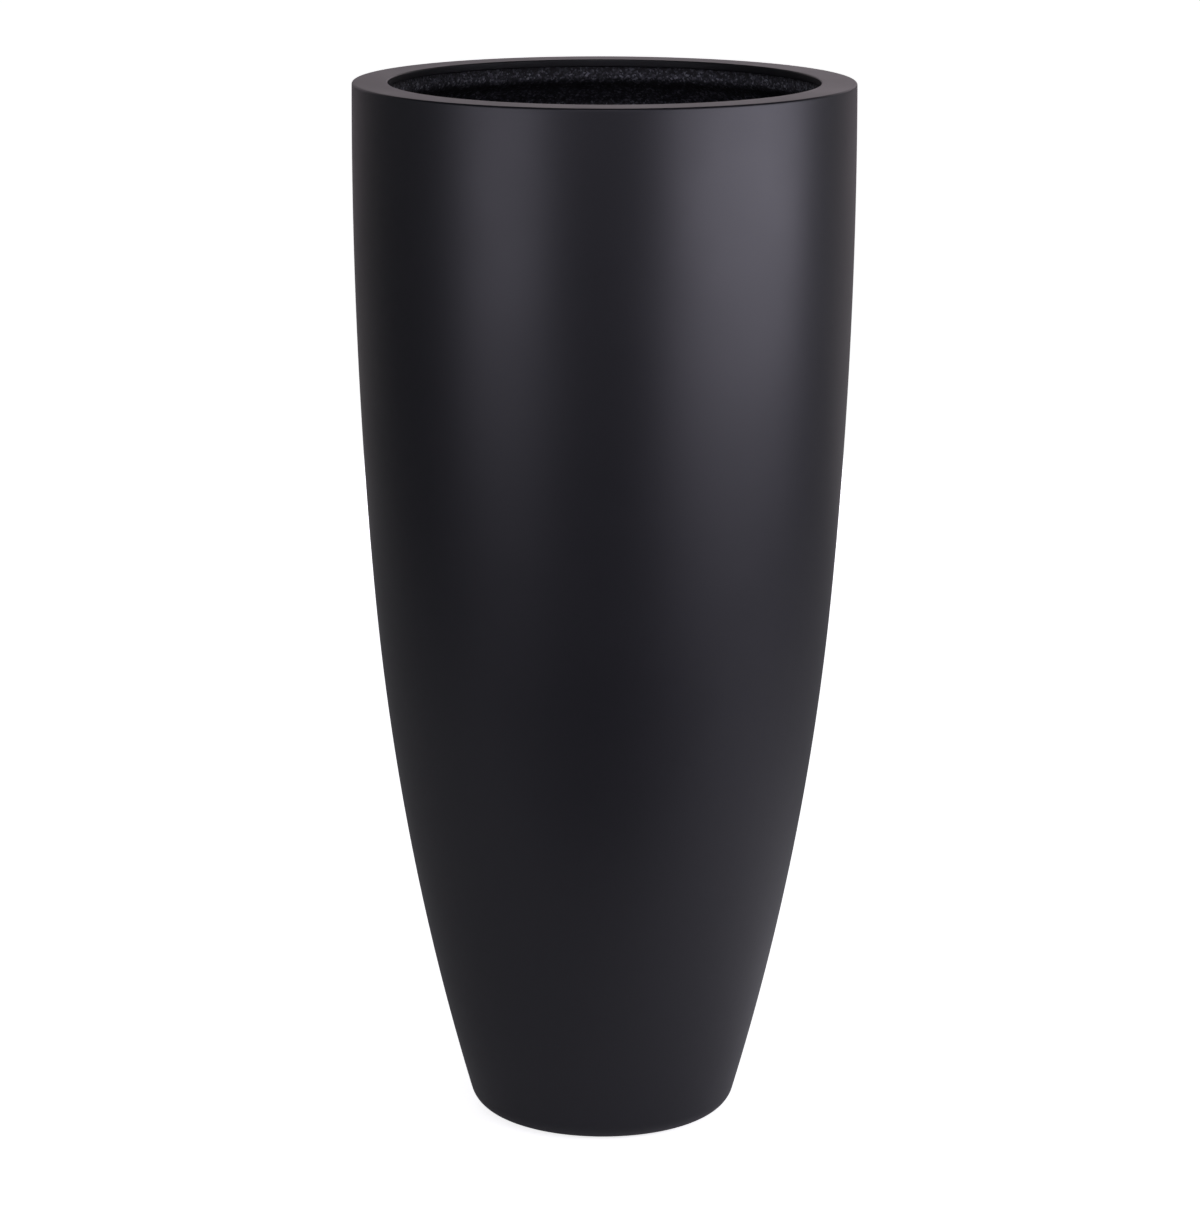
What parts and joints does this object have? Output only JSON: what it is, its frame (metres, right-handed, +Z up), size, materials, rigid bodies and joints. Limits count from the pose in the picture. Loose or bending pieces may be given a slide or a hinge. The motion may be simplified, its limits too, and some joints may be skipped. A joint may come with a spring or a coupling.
{
  "type": "tall planter",
  "caption": "Tall round floor planter with a flat rim, curved tapering wall, granular lining, pads under the foot and a drain plug that lifts out.",
  "frame": {"origin": "on the floor, on the planter's axis, at the faces of the foot pads", "axes": "+Z up along the planter's axis; the planter is round, and the foot pads are at 45 degrees to X and Y"},
  "size_m": [0.4235, 0.4235, 0.9],
  "materials": {
    "painted_fiberglass": "satin",
    "rigid_foam": "matte",
    "raw_laminate": "matte",
    "resin_putty": "matte",
    "sanded_lining": "matte",
    "black_rubber": "matte"
  },
  "bodies": {
    "planter": {"outer_shell": "painted_fiberglass", "rim_collar": "painted_fiberglass", "rim_core": "rigid_foam", "rim_return": "raw_laminate", "floor_pan": "raw_laminate", "floor_bond": "resin_putty", "inner_lining": "sanded_lining", "foot_pad_1": "black_rubber", "foot_pad_2": "black_rubber", "foot_pad_3": "black_rubber", "foot_pad_4": "black_rubber"},
    "drain_plug": {"drain_plug": "black_rubber"}
  },
  "joints": [
    {"name": "drain_plug_lift", "type": "slide", "parent": "planter", "child": "drain_plug", "axis": [0, 0, 1], "range_m": [0, 0.93]}
  ]
}
